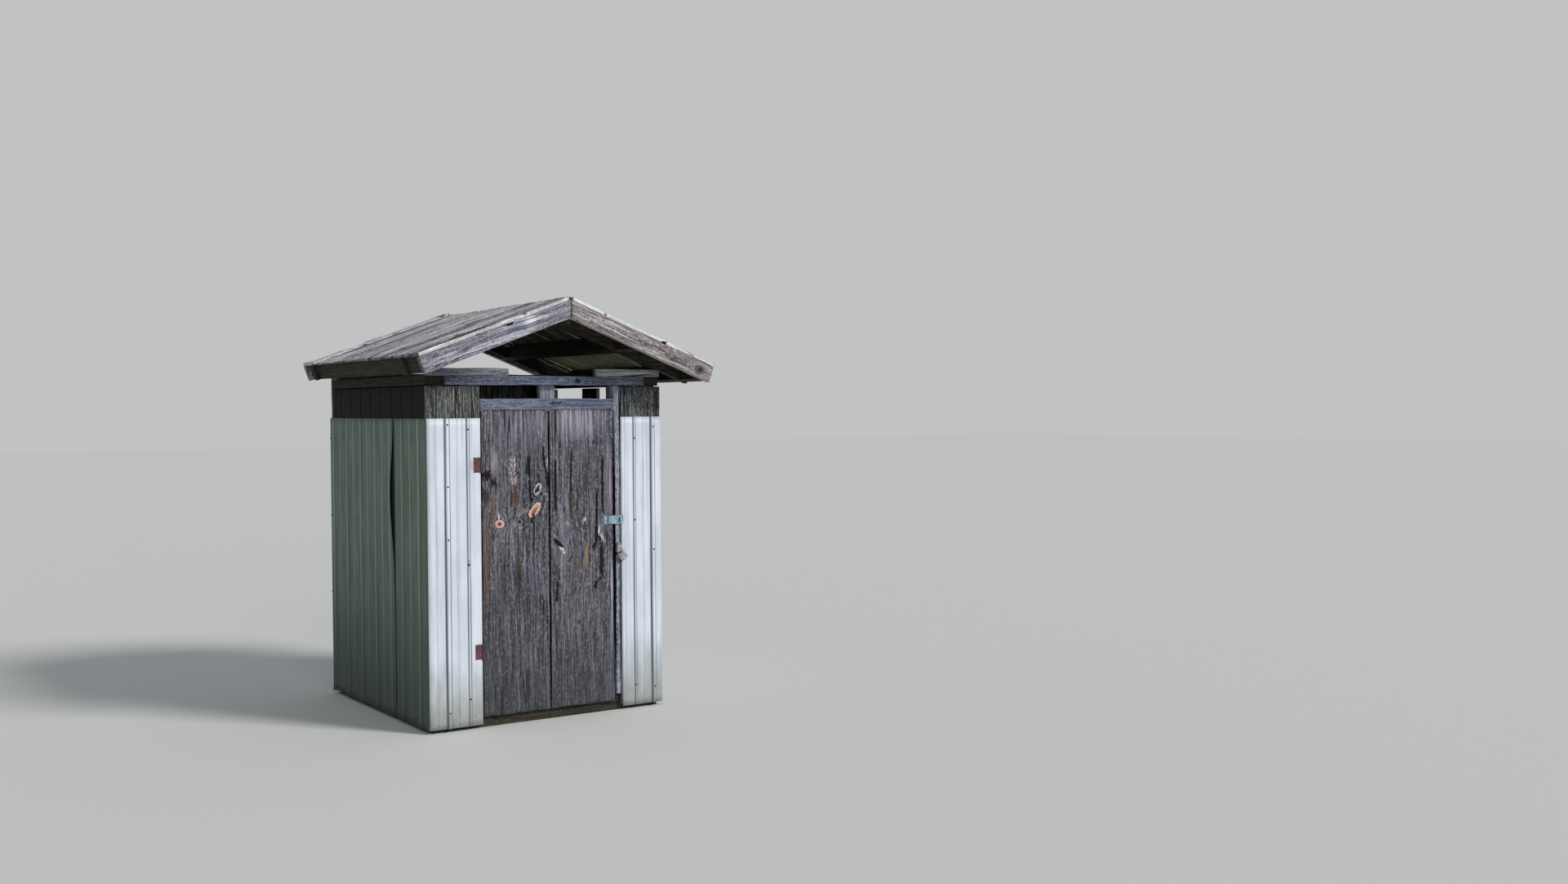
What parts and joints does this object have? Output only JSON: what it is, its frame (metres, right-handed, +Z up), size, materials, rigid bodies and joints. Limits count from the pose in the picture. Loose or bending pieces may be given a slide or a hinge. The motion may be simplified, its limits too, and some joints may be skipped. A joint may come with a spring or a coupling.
{
  "type": "wooden outhouse",
  "caption": "Small timber outhouse with a hinged plank door, ribbed steel cladding over upright boards, and a low gable roof of boards.",
  "frame": {"origin": "on the ground under the middle of the roof, which is the bottom centre of the bounding box; the ridge is 21 mm left of it", "axes": "+Z up, +Y from the door wall to the back wall, +X to the right of someone facing the door"},
  "size_m": [1.726, 1.81, 2.2528],
  "materials": {
    "grey_timber": "weathered grey boards, no paint",
    "dark_timber": "dark weathered softwood",
    "painted_steel": "white factory paint, chalked and dirty",
    "rusty_iron": "rusted",
    "plated_iron": "dull zinc plate"
  },
  "bodies": {
    "hut": {"sill_left": "dark_timber", "sill_right": "dark_timber", "sill_front": "dark_timber", "sill_back": "dark_timber", "floor_joists": "dark_timber", "floor_boards": "grey_timber", "post_front_left": "dark_timber", "post_front_right": "dark_timber", "post_back_left": "dark_timber", "post_back_right": "dark_timber", "wall_girts": "dark_timber", "door_jamb_left": "dark_timber", "door_jamb_right": "grey_timber", "door_lintel": "grey_timber", "vent_post": "grey_timber", "front_header": "grey_timber", "back_header": "dark_timber", "rafter_blocks": "grey_timber", "side_plate_left": "dark_timber", "side_plate_right": "dark_timber", "front_boards_left": "dark_timber", "front_boards_right": "dark_timber", "left_wall_boards": "dark_timber", "right_wall_boards": "dark_timber", "back_wall_boards": "dark_timber", "steel_front_left": "painted_steel", "steel_front_right": "painted_steel", "steel_left": "painted_steel", "steel_right": "painted_steel", "steel_back": "painted_steel", "ridge_beam": "dark_timber", "rafters": "grey_timber", "purlins_left": "dark_timber", "purlins_right": "dark_timber", "rake_board_left": "grey_timber", "rake_board_right": "grey_timber", "back_rake_boards": "grey_timber", "roof_boards_left": "grey_timber", "roof_boards_right": "grey_timber", "hinge_frame_leaves": "rusty_iron", "hinge_pins": "rusty_iron", "hasp_staple": "plated_iron", "button_screw": "rusty_iron"},
    "door": {"door_boards": "dark_timber", "door_ledges": "grey_timber", "hinge_door_leaves": "rusty_iron", "hasp_plate": "plated_iron"},
    "hasp": {"hasp_strap": "plated_iron"},
    "button": {"turn_button": "grey_timber"}
  },
  "joints": [
    {"name": "door_hinge", "type": "hinge", "parent": "hut", "child": "door", "pos_m": [-0.4305, -0.671, 0.887], "axis": [0, 0, -1], "range_deg": [0, 120]},
    {"name": "hasp_hinge", "type": "hinge", "parent": "door", "child": "hasp", "pos_m": [0.313, -0.6725, 1.053], "axis": [0, 0, -1], "range_deg": [0, 150]},
    {"name": "button_pivot", "type": "hinge", "parent": "hut", "child": "button", "pos_m": [0.373, -0.6715, 0.875], "axis": [0, -1, 0], "range_deg": [0, 112]}
  ]
}
